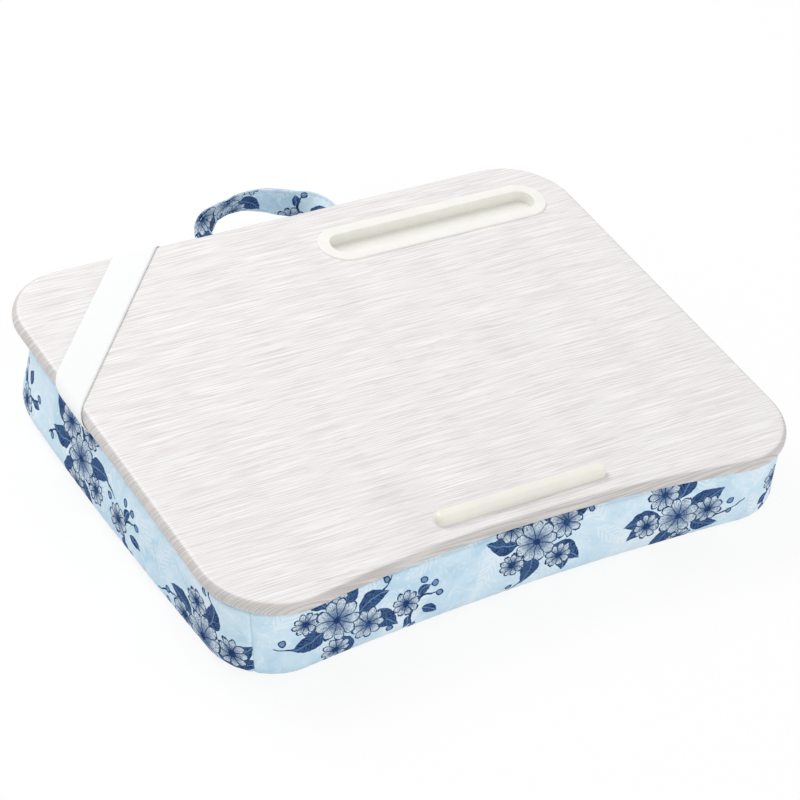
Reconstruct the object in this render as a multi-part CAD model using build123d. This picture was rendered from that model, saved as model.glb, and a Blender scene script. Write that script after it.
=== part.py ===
from build123d import *
from math import atan2, cos, degrees, hypot, radians, sin
import os

# Lap tray: a film-wrapped board with a phone slot, a ledge, an elastic band and a strap handle,
# fixed on a filled cushion in a sewn cover.
# Millimetres. X runs right along the long front edge, Y to the back, Z up.
# The origin is on the table under the middle of the board.

# Board
board_width = 451.0
board_depth = 356.0
board_thickness = 10.0
board_underside = 58.0
front_corner_radius = 51.0
back_corner_radius = 49.0
front_recess = 13.4
top_edge_radius = 5.4
bottom_edge_radius = 4.2

# Printed film, wrapped round the board's edge and turned under it
film_thickness = 0.4
film_turn_under = 16.0

# Phone slot, a moulded liner let into the board
slot_right_margin = 119.3
slot_back_margin = 46.5
slot_flange_length = 190.6
slot_flange_width = 38.4
slot_flange_height = 1.4
slot_flange_edge = 1.0
slot_opening_length = 173.0
slot_opening_width = 21.0
slot_mouth_round = 0.9
slot_wall = 1.8
slot_depth = 9.2
slot_draft = 1.5
slot_fit_gap = 0.5
crush_rib_radius = 0.9
crush_rib_gap = 0.05
crush_ribs_per_side = 5

# Ledge that stops a device from sliding off
ledge_x = 2.0
ledge_front_margin = 31.4
ledge_length = 133.0
ledge_width = 10.4
ledge_height = 7.2
ledge_top_round = 3.8
ledge_wall = 2.0
ledge_boss_radius = 2.9
ledge_screw_spacing = 46.0
ledge_screw_count = 3
screw_radius = 1.5
screw_hole_radius = 1.8
screw_head_radius = 3.2
screw_head_height = 1.9
screw_reach_in_ledge = 4.6
screw_drive_radius = 1.3
screw_drive_depth = 1.0

# Elastic band across the far left corner
band_width = 25.4
band_thickness = 1.2
band_gap = 0.3
band_along_side = 123.6
band_to_strap = 52.6
band_tail_reach = 16.0
band_edge_margin = 1.0
band_seam_gap = 0.3

# Staples
staple_crown = 10.0
staple_wire = 0.6
staple_wire_width = 1.2
staple_leg = 7.0
band_staple_inset = 6.0
band_staple_spacing = 12.0
strap_staple_inset = 6.0
strap_staple_spacing = 8.0

# Strap handle at the back
strap_width = 25.0
strap_thickness = 2.6
strap_foot_width = 19.0
strap_edge_round = 0.9
strap_cover = 0.6
strap_seam = 0.1
strap_core_gap = 0.35
strap_x = -1.2
strap_foot_spacing = 98.5
strap_left_reach = 19.2
strap_left_radius = 24.0
strap_crown_shift = -5.2
strap_crown_reach = 44.4
strap_crown_radius = 39.0
strap_right_reach = 10.6
strap_right_radius = 13.0
strap_fold_reach = 2.6
strap_heel = 0.9
strap_swing_gap = 0.6
strap_gap = 0.3
strap_tail = 26.0
strap_tail_corner = 3.0

# Cushion: its plan, its cover and what it holds
cushion_side_inset = 2.9
cushion_front_inset = 4.3
cushion_back_inset = 14.0
cushion_front_radius = 47.0
cushion_back_radius = 57.0
cushion_front_recess = 8.7
cushion_gap = 0.3
cover_thickness = 1.2
cover_draw_in = 1.6
cover_belly = 1.0
cover_side_bow = 2.4
cover_base_round = 8.5
cover_base_round_height = 11.0
cover_corner_tuck = 9.0
cover_crown_run = 30.0
cover_crown_drop = 1.9
stand_cut = 0.5
base_seam_height = 3.2
seam_gap = 0.3
hem_width = 14.0
hem_thickness = 2.4
lining_thickness = 1.0
lining_gap = 0.3
fill_gap = 0.3
hem_staple_pitch = 62.0
staple_keep_off = 25.0

# Cuts run this far past what they cut
overrun = 30.0

board_top = board_underside + board_thickness
core_underside = board_underside + film_thickness
left_edge = -board_width / 2
right_edge = board_width / 2
front_edge = -board_depth / 2
back_edge = board_depth / 2
slot_x = right_edge - slot_right_margin
slot_y = back_edge - slot_back_margin
ledge_y = front_edge + ledge_front_margin
cover_top = board_underside - cushion_gap
hem_underside = cover_top - hem_thickness
strap_fold_y = back_edge + strap_fold_reach
strap_fold_z = board_underside - strap_gap - strap_thickness / 2
strap_feet = (strap_x - strap_foot_spacing / 2, strap_x + strap_foot_spacing / 2)
band_side_point = Vector(left_edge, back_edge - band_along_side)
band_back_point = Vector(strap_feet[0] - strap_foot_width / 2 - band_to_strap, back_edge)
strap_swing_radius = hypot(strap_heel, strap_thickness / 2) + strap_swing_gap


def side_edge(centre_a, radius_a, centre_b, radius_b, outward, bow):
    """One side of an outline, tangent to its two corner arcs: bow above zero swells, below is hollow."""
    if bow == 0:
        return Line(centre_a + outward * radius_a, centre_b + outward * radius_b)
    along = outward.rotate(Axis.Z, 90)
    length = (centre_b - centre_a).dot(along)
    shift = length / 2 + bow * (radius_b - radius_a) / length
    sweep_radius = (shift**2 + bow**2) / (2 * bow) + radius_a
    centre = centre_a + along * shift + outward * (radius_a + bow - sweep_radius)
    sign = 1 if bow > 0 else -1
    start = centre_a + (centre_a - centre).normalized() * radius_a * sign
    finish = centre_b + (centre_b - centre).normalized() * radius_b * sign
    return ThreePointArc(start, centre + outward * sweep_radius, finish)


def tray_outline(half_width, front, back, front_radius, back_radius, front_bow, side_bow, back_bow):
    """Rounded plan face: four sides, anticlockwise from the front, joined by tangent corner arcs."""
    corners = [
        (Vector(-half_width + front_radius, front + front_radius), front_radius, Vector(0, -1), front_bow),
        (Vector(half_width - front_radius, front + front_radius), front_radius, Vector(1, 0), side_bow),
        (Vector(half_width - back_radius, back - back_radius), back_radius, Vector(0, 1), back_bow),
        (Vector(-half_width + back_radius, back - back_radius), back_radius, Vector(-1, 0), side_bow),
    ]
    following = corners[1:] + corners[:1]
    sides = [
        side_edge(centre, radius, next_centre, next_radius, outward, bow)
        for (centre, radius, outward, bow), (next_centre, next_radius, _, _) in zip(corners, following)
    ]
    edges = []
    for index, (centre, radius, next_outward, _) in enumerate(following):
        outward = corners[index][2]
        middle = centre + (outward + next_outward).normalized() * radius
        next_side = sides[(index + 1) % len(sides)]
        edges += [sides[index], ThreePointArc(sides[index] @ 1, middle, next_side @ 0)]
    return make_face(edges)


def board_outline(inset):
    return tray_outline(
        board_width / 2 - inset,
        -board_depth / 2 + inset,
        board_depth / 2 - inset,
        front_corner_radius - inset,
        back_corner_radius - inset,
        -front_recess,
        0,
        0,
    )


def board_form(inset):
    """The board with its rounded edge, shrunk all round by inset, or grown where inset is below zero."""
    form = extrude(board_outline(inset), board_thickness - 2 * inset)
    form = fillet(form.edges().group_by(Axis.Z)[-1], top_edge_radius - inset)
    form = fillet(form.edges().group_by(Axis.Z)[0], bottom_edge_radius - inset)
    return Pos(0, 0, board_underside + inset) * form


def slot_outline(growth):
    return SlotOverall(slot_opening_length + 2 * growth, slot_opening_width + 2 * growth)


def ledge_screw_places():
    first = -(ledge_screw_count - 1) / 2
    return [
        Pos(ledge_x + (first + index) * ledge_screw_spacing, ledge_y) for index in range(ledge_screw_count)
    ]


def board_cuts():
    """The slot's cut-out and the ledge's screw holes, right through the board and its film."""
    depth = board_thickness + 2 * overrun
    base = Pos(0, 0, board_underside - overrun)
    cuts = base * Pos(slot_x, slot_y) * extrude(slot_outline(slot_wall + slot_fit_gap), depth)
    for place in ledge_screw_places():
        cuts += base * place * extrude(Circle(screw_hole_radius), depth)
    return cuts


def screw_head(tip_radius):
    """Countersunk head with its flat face down, narrowing upward to tip_radius."""
    upright = (Align.CENTER, Align.CENTER, Align.MIN)
    return Cone(screw_head_radius, tip_radius, screw_head_height, align=upright)


def make_top_board():
    board = board_form(film_thickness) - board_cuts()
    for place in ledge_screw_places():
        board -= place * Pos(0, 0, core_underside) * screw_head(screw_hole_radius)
    return board


def make_board_film():
    window = extrude(board_outline(film_turn_under), overrun + film_thickness)
    window = Pos(0, 0, board_underside - overrun) * window
    return board_form(0) - board_form(film_thickness) - window - board_cuts()


def make_slot_liner():
    """Flange on the board, a drafted well below it, and crush ribs that grip the cut-out."""
    down = (0, 0, -1)
    flange = extrude(SlotOverall(slot_flange_length, slot_flange_width), slot_flange_height)
    flange = fillet(flange.edges().group_by(Axis.Z)[-1], slot_flange_edge)
    well_depth = slot_depth + slot_wall - slot_flange_height
    well = extrude(slot_outline(slot_wall), well_depth, dir=down, taper=slot_draft)
    hollow = extrude(Pos(0, 0, slot_flange_height) * slot_outline(0), slot_depth, dir=down, taper=slot_draft)
    liner = flange + well
    reach = slot_opening_width / 2 + slot_wall + slot_fit_gap - crush_rib_gap - crush_rib_radius
    straight = slot_opening_length - slot_opening_width
    for side in (-1, 1):
        for index in range(crush_ribs_per_side):
            x = straight * ((index + 0.5) / crush_ribs_per_side - 0.5)
            rib = extrude(Circle(crush_rib_radius), well_depth - slot_wall, dir=down)
            liner += Pos(x, side * reach) * rib
    liner -= hollow
    mouth = [
        edge
        for edge in liner.edges().group_by(Axis.Z)[-1]
        if abs((edge @ 0.5).Y) < slot_opening_width / 2 + slot_wall
        and abs((edge @ 0.5).X) < slot_opening_length / 2 + slot_wall
    ]
    return Pos(slot_x, slot_y, board_top) * fillet(mouth, slot_mouth_round)


def make_ledge():
    """Moulded ledge, hollow below, with a screw boss over each hole in the board."""
    bar = extrude(SlotOverall(ledge_length, ledge_width), ledge_height)
    bar = fillet(bar.edges().group_by(Axis.Z)[-1], ledge_top_round)
    hollow_height = ledge_height - ledge_wall
    hollow = extrude(SlotOverall(ledge_length - 2 * ledge_wall, ledge_width - 2 * ledge_wall), hollow_height)
    hollow = fillet(hollow.edges().group_by(Axis.Z)[-1], ledge_top_round - ledge_wall)
    ledge = Pos(ledge_x, ledge_y, board_top) * (bar - hollow)
    for place in ledge_screw_places():
        seat = place * Pos(0, 0, board_top)
        ledge += seat * extrude(Circle(ledge_boss_radius), hollow_height)
        ledge -= seat * extrude(Circle(screw_radius), screw_reach_in_ledge)
    return ledge


def make_ledge_screws():
    shank = extrude(Circle(screw_radius), board_top + screw_reach_in_ledge - core_underside)
    drive = extrude(RegularPolygon(screw_drive_radius, 6), screw_drive_depth)
    screw = Pos(0, 0, core_underside) * (shank + screw_head(screw_radius) - drive)
    return [place * screw for place in ledge_screw_places()]


def make_elastic_band():
    """The stretch that lies on the board and lifts off it, up to where the board's edges start to round."""
    run = band_back_point - band_side_point
    middle = (band_side_point + band_back_point) / 2
    strip = Box(run.length, band_width, board_thickness + 2 * overrun)
    strip = Pos(middle.X, middle.Y, board_top) * Rot(0, 0, degrees(atan2(run.Y, run.X))) * strip
    margin = top_edge_radius + band_edge_margin
    field = Box(board_width, board_depth, overrun, align=(Align.MIN, Align.MAX, Align.MIN))
    field = Pos(left_edge + margin, back_edge - margin, board_top + band_gap) * field
    lane = Pos(0, 0, board_top + band_gap) * extrude(board_outline(0), band_thickness)
    return lane & strip & field


band_layer = band_gap + band_thickness / 2
band_top_turn = (top_edge_radius + band_layer) * radians(90)
band_base_turn = (bottom_edge_radius + band_layer) * radians(90)
band_wall = board_thickness - top_edge_radius - bottom_edge_radius
band_wrap = band_top_turn + band_wall + band_base_turn


def band_way(distance):
    """The band's middle layer round the board's edge, at a distance past where the top starts to round.

    Gives how far in from the edge it is, its height and how far it has turned, 0 to 180 degrees."""
    if distance <= 0:
        return top_edge_radius - distance, board_top + band_layer, 0
    if distance <= band_top_turn:
        turn = radians(90) * distance / band_top_turn
        reach = top_edge_radius + band_layer
        height = board_top - top_edge_radius + reach * cos(turn)
        return top_edge_radius - reach * sin(turn), height, degrees(turn)
    if distance <= band_top_turn + band_wall:
        return -band_layer, board_top - top_edge_radius + band_top_turn - distance, 90
    if distance < band_wrap:
        turn = radians(90) * (distance - band_top_turn - band_wall) / band_base_turn
        reach = bottom_edge_radius + band_layer
        height = board_underside + bottom_edge_radius - reach * sin(turn)
        return bottom_edge_radius - reach * cos(turn), height, 90 + degrees(turn)
    return bottom_edge_radius + distance - band_wrap, board_underside - band_layer, 180


def band_crossings():
    """Where the band crosses the left and the back edge: the point, the way out and its heading there."""
    run = (band_back_point - band_side_point).normalized()
    return [(band_side_point, Vector(-1, 0), run * -1), (band_back_point, Vector(0, 1), run)]


def band_station(crossing, distance):
    """Plane across the band at a distance round an edge, with X along that edge."""
    point, outward, heading = crossing
    along = outward.rotate(Axis.Z, 90)
    lean = heading.dot(along) / heading.dot(outward)
    inward, height, turned = band_way(distance)
    place = point - outward * inward + along * lean * (distance - top_edge_radius)
    forward = outward * cos(radians(turned)) - Vector(0, 0, 1) * sin(radians(turned))
    return Plane(origin=(place.X, place.Y, height), x_dir=along, z_dir=forward)


# Stations of the band's end round the board's edge, as shares of its two quarter turns
band_turn_shares = (0.0, 0.2, 0.4, 0.6, 0.8, 1.0)


def band_end(crossing, side_growth=0, depth_growth=0):
    """One end of the band: over the rounded edge and in below the board, its slant kept round the edge."""
    _, outward, heading = crossing
    length = band_width / heading.dot(outward) + 2 * side_growth
    base_turn = band_top_turn + band_wall
    distances = [band_seam_gap - band_edge_margin]
    distances += [share * band_top_turn for share in band_turn_shares]
    distances += [base_turn + share * band_base_turn for share in band_turn_shares]
    distances.append(band_wrap + band_tail_reach - bottom_edge_radius + side_growth)
    profile = Rectangle(length, band_thickness + 2 * depth_growth)
    return loft([band_station(crossing, distance) * profile for distance in distances], ruled=True)


def make_band_ends():
    return [band_end(crossing) for crossing in band_crossings()]


def staple(crown_height):
    """A staple driven up into the board, with its crown along X and its underside at crown_height."""
    outer = Rectangle(staple_crown, staple_leg, align=(Align.CENTER, Align.MIN))
    inner = Rectangle(staple_crown - 2 * staple_wire, staple_leg, align=(Align.CENTER, Align.MIN))
    profile = outer - Pos(0, staple_wire) * inner
    wire = extrude(Plane.XZ * profile, staple_wire_width / 2, both=True)
    return Pos(0, 0, crown_height) * wire


def make_band_staples():
    """Two staples side by side across each band tail."""
    crown_height = board_underside - band_gap - band_thickness - staple_wire
    distance = band_wrap + band_tail_reach - bottom_edge_radius - band_staple_inset
    staples = []
    for crossing in band_crossings():
        middle = band_station(crossing, distance).origin
        along = crossing[1].rotate(Axis.Z, 90)
        across = Rot(0, 0, degrees(atan2(along.Y, along.X)))
        for side in (-1, 1):
            place = Pos(middle.X, middle.Y) * across * Pos(side * band_staple_spacing / 2, 0)
            staples.append(place * staple(crown_height))
    return staples


def strap_path():
    """Middle line of the strap loop, from its left fold round the crown to its right fold."""
    left, right = strap_feet
    heel_y = strap_fold_y - strap_heel
    points = [
        (left, heel_y, strap_fold_z),
        (left, back_edge + strap_left_reach, strap_fold_z),
        (strap_x + strap_crown_shift, back_edge + strap_crown_reach, strap_fold_z),
        (right, back_edge + strap_right_reach, strap_fold_z),
        (right, heel_y, strap_fold_z),
    ]
    return FilletPolyline(*points, radius=[strap_left_radius, strap_crown_radius, strap_right_radius])


# Along the strap: share of its length, of its quarter turn and of its widening
strap_form_shares = (
    (0.0, 0.0, 0.0),
    (0.03, 0.0, 0.0),
    (0.1, 0.34, 0.1),
    (0.21, 0.93, 0.5),
    (0.33, 1.22, 0.9),
    (0.5, 1.24, 1.0),
    (0.67, 1.07, 0.9),
    (0.79, 0.96, 0.5),
    (0.9, 0.34, 0.1),
    (0.97, 0.0, 0.0),
    (1.0, 0.0, 0.0),
)
strap_station_count = 40


def strap_form_at(share):
    """Share of the quarter turn and of the widening at a share of the strap's length."""
    for (start, *before), (finish, *after) in zip(strap_form_shares, strap_form_shares[1:]):
        if share <= finish:
            way = (share - start) / (finish - start)
            return [low + (high - low) * way for low, high in zip(before, after)]


def strap_loft(profile_at):
    """A layer of the strap loop, flat at its folds and turned on edge over its crown."""
    path = strap_path()
    sections = []
    for station in range(strap_station_count + 1):
        share = station / strap_station_count
        turn_share, width_share = strap_form_at(share)
        forward = path % share
        outward = Vector(0, 0, 1).cross(forward)
        turn = radians(90 * turn_share)
        across = outward * cos(turn) + Vector(0, 0, 1) * sin(turn)
        width = strap_foot_width + width_share * (strap_width - strap_foot_width)
        sections.append(Plane(origin=path @ share, x_dir=across, z_dir=forward) * profile_at(width))
    return loft(sections, ruled=True)


def sleeve_profile(width):
    """Section of the sleeve: one ply folded round the webbing, its edges meeting at a seam on one side."""
    half = width / 2
    deep = strap_thickness / 2
    lip = strap_seam / 2
    outline = [
        (half, -lip),
        (half, -deep),
        (-half, -deep),
        (-half, deep),
        (half, deep),
        (half, lip),
        (half - strap_cover, lip),
        (half - strap_cover, deep - strap_cover),
        (strap_cover - half, deep - strap_cover),
        (strap_cover - half, strap_cover - deep),
        (half - strap_cover, strap_cover - deep),
        (half - strap_cover, -lip),
    ]
    profile = make_face(Polyline(*outline, close=True))
    outer_corners = [vertex for vertex in profile.vertices() if abs(vertex.Y) > deep - strap_cover / 2]
    return fillet(outer_corners, strap_edge_round)


def webbing_profile(width):
    inset = strap_cover + strap_core_gap
    return Rectangle(width - 2 * inset, strap_thickness - 2 * inset)


def make_handle_strap():
    """Sewn sleeve of the handle. It swings about the fold line, just behind its two heels."""
    return strap_loft(sleeve_profile)


def make_handle_webbing():
    """Webbing inside the sleeve, from heel to heel."""
    return strap_loft(webbing_profile)


def strap_tail_blocks(growth):
    """The strap's flat ends below the board, up to its fold line."""
    block = Box(
        strap_foot_width + 2 * growth,
        strap_tail + growth,
        strap_thickness + 2 * growth,
        align=(Align.CENTER, Align.MAX, Align.CENTER),
    )
    return [Pos(foot, strap_fold_y, strap_fold_z) * block for foot in strap_feet]


def make_strap_ends():
    """Flat ends of the strap, hollowed at the fold line so that the loop's heels turn clear of them."""
    swing = Pos(0, strap_fold_y, strap_fold_z) * Rot(0, 90, 0) * Cylinder(strap_swing_radius, board_width)
    ends = []
    for block in strap_tail_blocks(0):
        inner_edges = block.edges().filter_by(Axis.Z).group_by(Axis.Y)[0]
        ends.append(fillet(inner_edges, strap_tail_corner) - swing)
    return ends


def make_strap_staples():
    """Two staples in line along each strap end."""
    crown_height = strap_fold_z - strap_thickness / 2
    middle_y = strap_fold_y - strap_tail + strap_staple_inset
    staples = []
    for foot in strap_feet:
        for row in (0, 1):
            place = Pos(foot, middle_y + row * strap_staple_spacing)
            staples.append(place * staple(crown_height))
    return staples


def cushion_face(inset, tuck=0, bow=0):
    """Plan of the cushion: inset all round, its corners drawn in by tuck and its sides swelled by bow."""
    return tray_outline(
        board_width / 2 - cushion_side_inset - inset,
        -board_depth / 2 + cushion_front_inset + inset,
        board_depth / 2 - cushion_back_inset - inset,
        cushion_front_radius - inset + tuck,
        cushion_back_radius - inset + tuck,
        -cushion_front_recess,
        bow,
        bow,
    )


# Levels of the cushion's form: up its side, round its base's edge and in over its crown
side_rise_shares = (1.0, 0.95, 0.88, 0.7, 0.48, 0.24)
base_turn_shares = (0.0, 0.25, 0.5, 0.75, 1.0)
crown_run_shares = (0.4, 1.0)
# The top seam draws in over this share of the side, and this share of the corner tuck is above the base
draw_rise_share = 0.13
side_tuck_share = 0.4


def cushion_levels(shrink):
    """Height, inset, corner tuck and side bow of each level of the cushion, from its top down."""
    crown_edge = cover_crown_drop - stand_cut
    side_foot = crown_edge + cover_base_round_height
    levels = []
    for rise in side_rise_shares:
        drawn = max(0, 1 - (1 - rise) / draw_rise_share)
        inset = cover_draw_in * drawn**2 - cover_belly * sin(radians(180 * rise)) + shrink
        tuck = cover_corner_tuck * side_tuck_share * (1 - rise) ** 2
        levels.append((side_foot + rise * (cover_top - side_foot), inset, tuck, cover_side_bow * (1 - rise)))
    for turn_share in base_turn_shares:
        turn = radians(90 * turn_share)
        height = crown_edge + cover_base_round_height * (1 - sin(turn)) + shrink * sin(turn)
        inset = cover_base_round * (1 - cos(turn)) + shrink * cos(turn)
        tuck = cover_corner_tuck * (side_tuck_share + (1 - side_tuck_share) * turn_share)
        levels.append((height, inset, tuck, cover_side_bow))
    for run in crown_run_shares:
        height = crown_edge - cover_crown_drop * (1 - (1 - run) ** 2) + shrink
        inset = cover_base_round + cover_crown_run * run
        levels.append((height, inset, cover_corner_tuck, cover_side_bow))
    return levels


def cushion_form(shrink):
    """Filled cushion: drawn in at its top seam, swelled at its sides, tucked at its corners and crowned."""
    levels = cushion_levels(shrink)
    sections = [Pos(0, 0, height) * cushion_face(inset, tuck, bow) for height, inset, tuck, bow in levels]
    return loft(sections, ruled=True)


def slab(bottom, top):
    """Everything between two heights."""
    reach = board_width + overrun
    return Pos(0, 0, bottom) * Box(reach, reach, top - bottom, align=(Align.CENTER, Align.CENTER, Align.MIN))


def cover_shell():
    """The sewn cover's walls and base, flat where it stands."""
    inside = cushion_form(cover_thickness)
    mouth = inside.faces().sort_by(Axis.Z)[-1]
    inside += extrude(mouth, overrun, dir=(0, 0, 1))
    return (cushion_form(0) - inside) & slab(0, board_top)


def tail_pockets():
    """Room in the cover's hem for the band's tails, their staples and the strap's ends."""
    depth = fill_gap + staple_wire
    band_pockets = [band_end(crossing, fill_gap, depth) for crossing in band_crossings()]
    return band_pockets + strap_tail_blocks(fill_gap)


def cushion_corners():
    """Corner arc centres of the cushion's plan and their outward diagonals, anticlockwise from the left."""
    side = board_width / 2 - cushion_side_inset
    front = -board_depth / 2 + cushion_front_inset
    back = board_depth / 2 - cushion_back_inset
    return [
        (Vector(-side + cushion_front_radius, front + cushion_front_radius), Vector(-1, -1)),
        (Vector(side - cushion_front_radius, front + cushion_front_radius), Vector(1, -1)),
        (Vector(side - cushion_back_radius, back - cushion_back_radius), Vector(1, 1)),
        (Vector(-side + cushion_back_radius, back - cushion_back_radius), Vector(-1, 1)),
    ]


def make_boxing(cover):
    """The cover's side strips with their doubled hems, one to a side, seamed at the corners."""
    window = Pos(0, 0, hem_underside - overrun) * extrude(cushion_face(cover_draw_in + hem_width), board_top)
    hem = (cushion_form(cover_thickness / 2) & slab(hem_underside, cover_top)) - window
    walls = (cover & slab(base_seam_height + seam_gap / 2, cover_top)) + hem
    for pocket in tail_pockets():
        walls -= pocket
    corners = cushion_corners()
    seam = Box(board_depth, seam_gap, board_top, align=(Align.MIN, Align.CENTER, Align.MIN))
    for centre, diagonal in corners:
        walls -= Pos(centre.X, centre.Y) * Rot(0, 0, degrees(atan2(diagonal.Y, diagonal.X))) * seam
    strips = {}
    for name, (centre_a, out_a), (centre_b, out_b) in zip(
        ("front", "right", "back", "left"), corners, corners[1:] + corners[:1]
    ):
        reach = cushion_back_radius + overrun
        wedge = Polyline(centre_a, centre_a + out_a * reach, centre_b + out_b * reach, centre_b, close=True)
        strips[name] = walls & extrude(make_face(wedge), board_top)
    return strips


def make_base_panel(cover):
    return cover & slab(0, base_seam_height - seam_gap / 2)


def lining_underside():
    return hem_underside - lining_gap - lining_thickness


def make_lining():
    """Plain panel that closes the cushion below the hem."""
    panel = slab(lining_underside(), lining_underside() + lining_thickness)
    return cushion_form(cover_thickness + fill_gap) & panel


def make_fill():
    """The filling, which takes the cover's form from inside."""
    return cushion_form(cover_thickness + fill_gap) & slab(0, lining_underside() - fill_gap)


def make_hem_staples():
    """Staples round the hem, left out where a band tail or a strap end has its own."""
    track = cushion_face(cover_draw_in + hem_width / 2).face().outer_wire()
    count = round(track.length / hem_staple_pitch)
    tail_middle = band_wrap + band_tail_reach / 2
    taken = [band_station(crossing, tail_middle).origin for crossing in band_crossings()]
    taken = [Vector(spot.X, spot.Y) for spot in taken]
    taken += [Vector(foot, strap_fold_y - strap_tail / 2) for foot in strap_feet]
    staples = []
    for index in range(count):
        share = (index + 0.5) / count
        spot = track @ share
        if min((spot - place).length for place in taken) < staple_keep_off:
            continue
        direction = track % share
        turn = Rot(0, 0, degrees(atan2(direction.Y, direction.X)))
        staples.append(Pos(spot.X, spot.Y) * turn * staple(hem_underside))
    return staples


def save(name, *shapes):
    solids = [solid for shape in shapes for solid in shape.solids()]
    export_step(Compound(solids), f"parts/{name}.step")


os.makedirs("parts", exist_ok=True)
save("top_board", make_top_board())
save("board_film", make_board_film())
save("phone_slot_liner", make_slot_liner())
save("device_ledge", make_ledge())
save("ledge_screws", *make_ledge_screws())
save("elastic_band", make_elastic_band())
save("elastic_band_ends", *make_band_ends())
save("band_staples", *make_band_staples())
save("handle_strap", make_handle_strap())
save("handle_webbing", make_handle_webbing())
save("handle_strap_ends", *make_strap_ends())
save("handle_staples", *make_strap_staples())
sewn_cover = cover_shell()
for side, strip in make_boxing(sewn_cover).items():
    save(f"cushion_{side}_strip", strip)
save("cushion_base_panel", make_base_panel(sewn_cover))
save("cushion_lining", make_lining())
save("cushion_fill", make_fill())
save("hem_staples", *make_hem_staples())
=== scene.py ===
from math import acos, atan2, cos, hypot, pi, sin, sqrt, tan, tau

import bpy
import numpy as np
from mathutils import Matrix, Vector


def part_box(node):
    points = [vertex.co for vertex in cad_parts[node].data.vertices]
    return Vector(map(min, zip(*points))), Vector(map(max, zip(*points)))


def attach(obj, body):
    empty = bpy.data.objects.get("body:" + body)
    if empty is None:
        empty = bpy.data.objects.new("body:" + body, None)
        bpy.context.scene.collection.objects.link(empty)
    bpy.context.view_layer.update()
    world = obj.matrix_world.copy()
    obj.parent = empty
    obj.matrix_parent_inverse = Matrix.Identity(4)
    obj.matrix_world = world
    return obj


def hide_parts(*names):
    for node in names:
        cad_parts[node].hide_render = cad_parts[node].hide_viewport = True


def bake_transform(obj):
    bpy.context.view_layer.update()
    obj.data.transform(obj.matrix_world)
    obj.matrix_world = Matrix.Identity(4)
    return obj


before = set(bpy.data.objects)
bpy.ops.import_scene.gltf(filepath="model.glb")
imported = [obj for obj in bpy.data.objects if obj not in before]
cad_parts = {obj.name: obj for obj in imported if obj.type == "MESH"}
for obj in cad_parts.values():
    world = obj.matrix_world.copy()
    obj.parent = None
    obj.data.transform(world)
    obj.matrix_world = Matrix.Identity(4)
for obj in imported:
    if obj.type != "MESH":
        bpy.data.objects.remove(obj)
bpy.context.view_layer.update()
scene = bpy.context.scene

MM = 0.001

# Board, read from the frame
board_low, board_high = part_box("board_film")
board_left, board_front, board_under = board_low
board_right, board_back, board_top = board_high
top_edge_radius = 5.4 * MM
bottom_edge_radius = 4.2 * MM

# Camera, fitted to the outline of the board
camera_place = Vector((-0.90734, -1.18029, 1.24890))
camera_right = Vector((0.84833094, -0.51062394, 0.13999216))
camera_up = Vector((0.23662226, 0.60216215, 0.76250288))
camera_lens = 125.66
camera_sensor = 36.0
camera_far = 50.0

# Studio, in metres and watts. Lamps by name, place, target, diameter and power
world_light = 0.64
floor_reach = 6.0
floor_glow = 0.88
lamps = (
    ("key", (-0.7, 1.4, 2.1), (0, 0.1, 0.03), 1.8, 33.0),
    ("fill", (0.5, -2.4, 0.9), (0, 0, 0.03), 2.0, 14.0),
)

# Cushion: plan, hem and side profile, and base. Towards its base it is skewed and leans forward
side_inset = 2.9 * MM
front_inset = 4.3 * MM
back_inset = 14.0 * MM
front_radius = 43.0 * MM
back_radius = 60.0 * MM
front_recess = 8.7 * MM
recess_ease = 0.75
least_bow = 0.01 * MM
top_gap = 0.3 * MM
draw_in = 1.6 * MM
draw_rise_share = 0.13
belly = 1.0 * MM
side_bow = 2.4 * MM
corner_tuck = 3.0 * MM
side_tuck_share = 0.4
base_round = 8.5 * MM
base_round_height = 11.0 * MM
crown_run = 30.0 * MM
crown_drop = 1.9 * MM
stand_cut = 0.5 * MM
hem_width = 14.0 * MM
rim_round = 1.5 * MM
side_skew = 0.038
front_skew = 0.016
forward_lean = 1.0 * MM
cover_thickness = 1.0 * MM
filling_gap = 1.6 * MM
lining_depth = 4.4 * MM

# Grid of the cover: columns in the front, right, back and left side and in each corner, rows in each
# stretch of its profile from the hem down, and rings that close the base and the filling
side_columns = (54, 36, 54, 36)
corner_columns = 12
hem_rows = 3
rim_rows = 2
side_rows = 9
turn_rows = 8
crown_rows = 3
column_refine = 5
row_refine = 4
base_rings = 14
filling_rings = 10
seam_turn_share = 0.625
near_seam_shift = 1

# Cloth simulation: how much smaller the cover starts and how far a point may move
cover_slack = 2.2 * MM
cover_cap = 3.5 * MM
cloth_frames = 20
cloth_settings = {
    "quality": 6,
    "mass": 0.3,
    "tension_stiffness": 25.0,
    "compression_stiffness": 25.0,
    "shear_stiffness": 12.0,
    "bending_stiffness": 1.5,
    "use_pressure": True,
    "uniform_pressure_force": 4.0,
    "vertex_group_mass": "held",
}

# Relief of the sewing: seams, tugs beside them, gathers at the hem and the base, and slack between
seam_depth = 0.6 * MM
seam_width = 1.0 * MM
tug_height = 0.3 * MM
tug_pitch = 7.5 * MM
tug_sway_pitch = 19 * MM
tug_reach = 9 * MM
hem_gather_height = 0.25 * MM
hem_gather_reach = 6.5 * MM
base_seam_depth = 0.4 * MM
base_gather_height = 0.14 * MM
base_gather_reach = 5.5 * MM
slack_height = 0.35 * MM
slack_pitch = 15 * MM
slack_ripple_pitch = 9 * MM
slack_hem_run = 8 * MM
slack_base_run = 10 * MM

# How the hem gives way below the band's tails and the strap's ends
band_dip = 2.2 * MM
band_dip_fade = 7 * MM
band_tail_shift = 21 * MM
band_tail_half = 19 * MM
strap_dip = 3.2 * MM
strap_dip_fade = 6 * MM
dip_margin = 40 * MM
dip_height = 16 * MM
dip_rise = 15 * MM

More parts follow.
